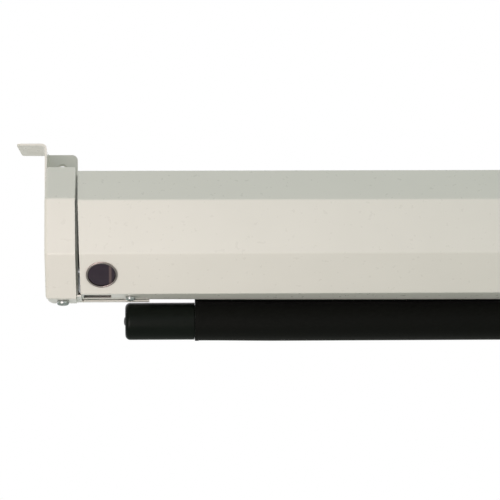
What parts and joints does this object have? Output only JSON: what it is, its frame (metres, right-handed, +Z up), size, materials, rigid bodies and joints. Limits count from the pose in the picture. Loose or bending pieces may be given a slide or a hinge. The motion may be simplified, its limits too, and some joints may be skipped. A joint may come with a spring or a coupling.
{
  "type": "motorized projector screen",
  "caption": "Motorized projector screen: eight-sided steel case with end brackets for wall or ceiling, tubular motor in the roller, black-backed fabric and a weighted bar.",
  "frame": {"origin": "mid-length of the screen, on the line where the wall plane behind the brackets meets the ceiling plane above their tabs", "axes": "+X along the case towards the viewer's right, +Y back into the wall, +Z up; rest pose is fully rolled up"},
  "size_m": [1.749, 0.0907, 0.1368],
  "materials": {
    "powder_coat": "fine satin powder coat",
    "zinc": "bright zinc plate",
    "bright_steel": "plain drawn steel",
    "aluminium": "mill",
    "black_plastic": "satin moulded",
    "grey_plastic": "moulded",
    "white_plastic": "moulded",
    "red_plastic": "moulded",
    "rim_metal": "turned, satin",
    "ir_lens": "dark infrared filter",
    "circuit_board": "solder mask",
    "black_fabric": "coated screen cloth",
    "rubber": "plain"
  },
  "bodies": {
    "screen_frame": {"bracket_screw_left": "zinc", "bracket_screw_right": "zinc", "case_shell": "powder_coat", "control_box": "grey_plastic", "control_box_lid": "grey_plastic", "end_bracket_left": "powder_coat", "end_bracket_right": "powder_coat", "end_plate_left": "powder_coat", "end_plate_right": "powder_coat", "idler_bush": "white_plastic", "inner_clip_left": "bright_steel", "inner_clip_right": "bright_steel", "lid_screw_1": "zinc", "lid_screw_2": "zinc", "lip_screw_left": "zinc", "lip_screw_right": "zinc", "mains_grommet": "rubber", "motor_clip": "bright_steel", "motor_head": "black_plastic", "motor_tube": "bright_steel", "receiver_board": "circuit_board", "receiver_sensor": "black_plastic", "top_screw_left": "zinc", "top_screw_right": "zinc", "window_bezel": "rim_metal", "window_lens": "ir_lens", "window_nut": "black_plastic"},
    "roller": {"roller_tube": "aluminium", "fabric_roll": "black_fabric", "crown_ring": "grey_plastic", "output_shaft": "bright_steel", "shaft_clip": "bright_steel", "drive_wheel": "grey_plastic", "idler_plug": "grey_plastic", "idler_axle": "bright_steel", "axle_clip": "bright_steel"},
    "bottom_bar": {"bar_tube": "bright_steel", "bar_hem": "black_fabric", "bar_cap_left": "black_plastic", "bar_cap_right": "black_plastic", "fabric_drop": "black_fabric"},
    "adjuster_up": {"limit_adjuster_up": "white_plastic"},
    "adjuster_down": {"limit_adjuster_down": "red_plastic"}
  },
  "joints": [
    {"name": "bar_drop", "type": "slide", "parent": "screen_frame", "child": "bottom_bar", "axis": [0, 0, -1], "range_m": [0, 1.2], "deforming": ["fabric_drop"]},
    {"name": "roller_turn", "type": "hinge", "parent": "screen_frame", "child": "roller", "pos_m": [0, -0.05135, -0.0651], "axis": [-1, 0, 0], "range_deg": [0, 2600]},
    {"name": "adjuster_up_turn", "type": "hinge", "parent": "screen_frame", "child": "adjuster_up", "pos_m": [-0.8225, -0.05135, -0.092], "axis": [0, 0, 1], "continuous": true},
    {"name": "adjuster_down_turn", "type": "hinge", "parent": "screen_frame", "child": "adjuster_down", "pos_m": [-0.8135, -0.05135, -0.092], "axis": [0, 0, 1], "continuous": true}
  ],
  "couplings": [
    {"joint": "roller_turn", "follows": "bar_drop", "rad_per_m": 37.3}
  ]
}
